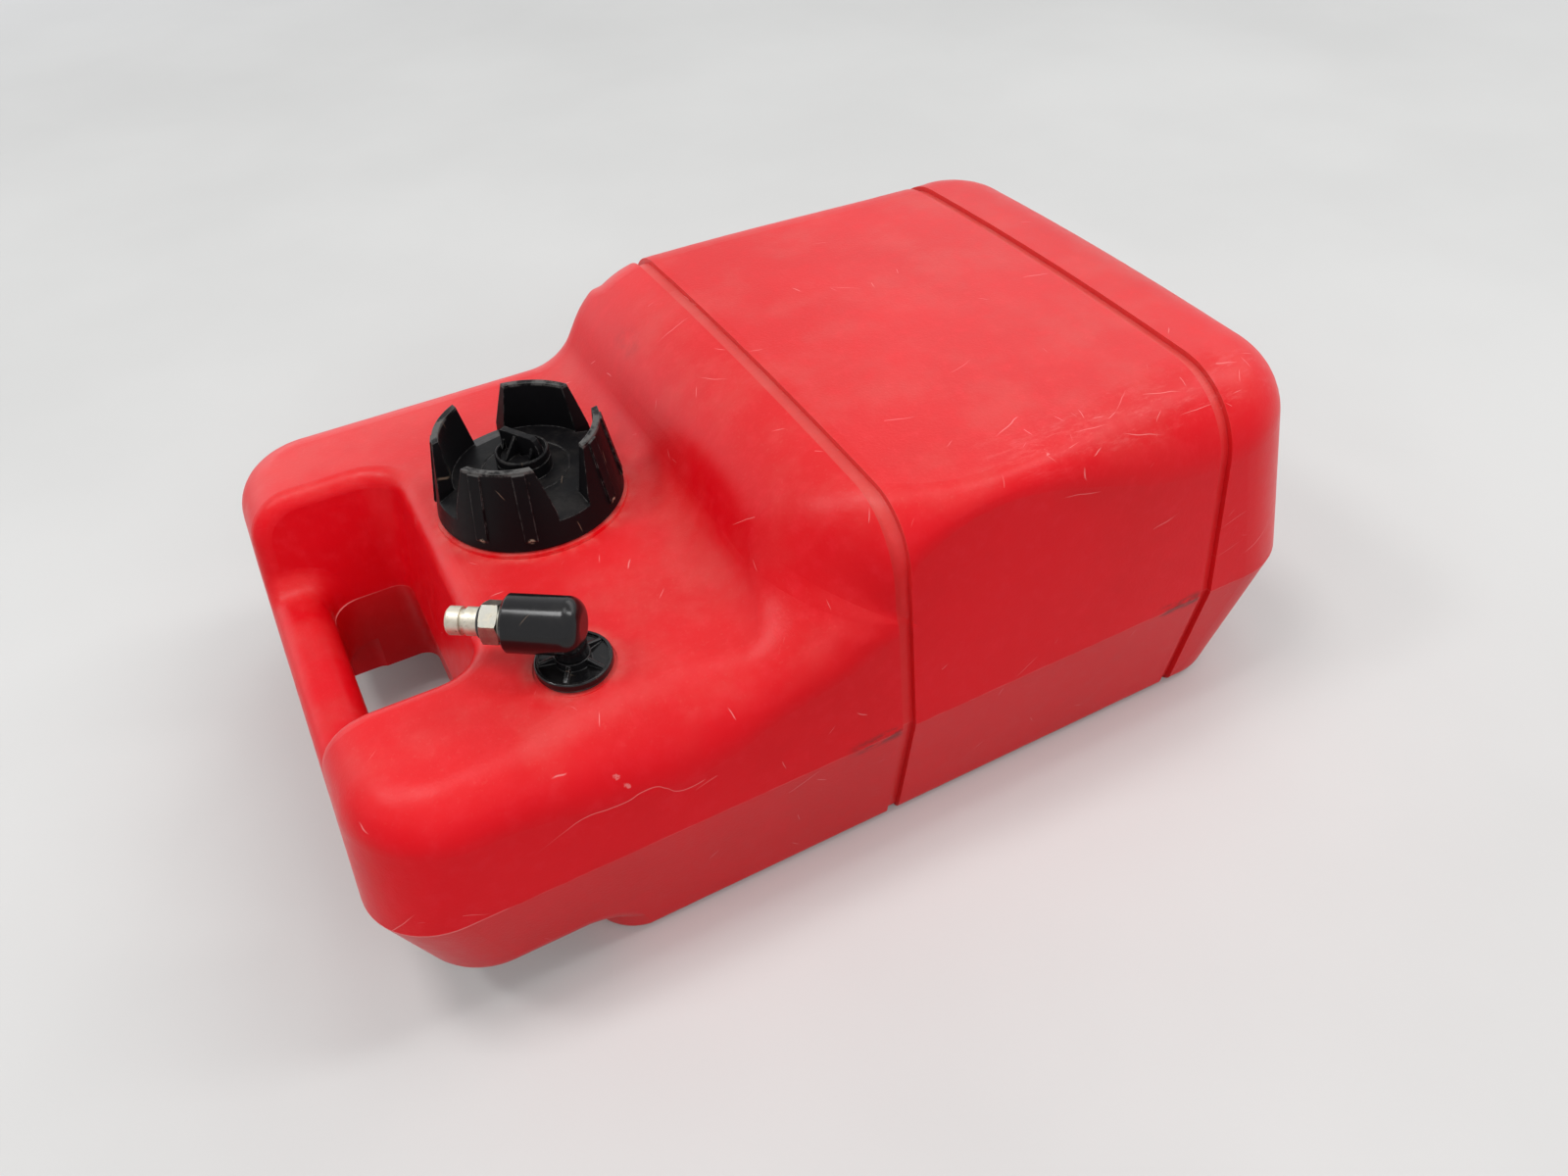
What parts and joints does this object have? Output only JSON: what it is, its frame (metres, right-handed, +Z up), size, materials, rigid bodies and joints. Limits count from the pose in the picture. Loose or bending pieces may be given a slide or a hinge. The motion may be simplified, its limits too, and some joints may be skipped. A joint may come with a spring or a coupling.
{
  "type": "outboard fuel tank",
  "caption": "Portable moulded fuel tank for an outboard motor, with a carrying bar, a vented screw cap and a swivelling hose connector.",
  "frame": {"origin": "on the ground, under the middle of the tank's length and width", "axes": "+Z up, +X from the carrying bar to the tall end, -Y the side of the withdrawal fitting"},
  "size_m": [0.428, 0.27, 0.169],
  "materials": {
    "tank_plastic": "satin red polyethylene with light scuffs",
    "cap_plastic": "satin black, worn grey at the tips",
    "fitting_plastic": "semi-gloss black",
    "tube_plastic": "natural polyethylene",
    "seal_rubber": "matt",
    "spring_steel": "plain",
    "mesh_steel": "fine woven mesh",
    "plated_brass": "nickel plate with a warm tint"
  },
  "bodies": {
    "tank": {"tank_shell": "tank_plastic", "pickup_flange": "fitting_plastic", "flange_gasket": "seal_rubber", "stem_o_ring": "seal_rubber"},
    "cap_carrier": {"cap_gasket": "seal_rubber"},
    "cap": {"filler_cap": "cap_plastic"},
    "vent_carrier": {"vent_seal": "seal_rubber"},
    "vent_screw": {"vent_knob": "cap_plastic", "vent_retainer": "spring_steel"},
    "elbow": {"swivel_elbow": "fitting_plastic", "elbow_retainer": "spring_steel", "pickup_tube": "tube_plastic", "strainer_cage": "tube_plastic", "strainer_mesh": "mesh_steel", "hose_connector": "plated_brass", "connector_o_ring": "seal_rubber", "spring_retainer": "plated_brass", "valve_spring": "spring_steel"},
    "poppet": {"valve_poppet": "plated_brass", "poppet_seal": "seal_rubber"}
  },
  "joints": [
    {"name": "cap_lift", "type": "slide", "parent": "tank", "child": "cap_carrier", "axis": [0, 0, 1], "range_m": [0, 0.0082]},
    {"name": "cap_turn", "type": "hinge", "parent": "cap_carrier", "child": "cap", "pos_m": [-0.098, 0.013, 0.1252], "axis": [0, 0, 1], "range_deg": [0, 720]},
    {"name": "vent_lift", "type": "slide", "parent": "cap", "child": "vent_carrier", "axis": [0, 0, 1], "range_m": [0, 0.0031]},
    {"name": "vent_turn", "type": "hinge", "parent": "vent_carrier", "child": "vent_screw", "pos_m": [-0.098, 0.013, 0.139], "axis": [0, 0, 1], "range_deg": [0, 540]},
    {"name": "elbow_swivel", "type": "hinge", "parent": "tank", "child": "elbow", "pos_m": [-0.1172, -0.0882, 0.1226], "axis": [0, 0, 1], "continuous": true},
    {"name": "poppet_slide", "type": "slide", "parent": "elbow", "child": "poppet", "axis": [0.8231, -0.5678, 0], "range_m": [0, 0.0025], "stiffness_N_per_m": 300, "springref_m": -0.005, "deforming": ["valve_spring"]}
  ],
  "couplings": [
    {"joint": "cap_lift", "follows": "cap_turn", "m_per_rad": 0.00063662},
    {"joint": "vent_lift", "follows": "vent_turn", "m_per_rad": 0.00031831}
  ]
}
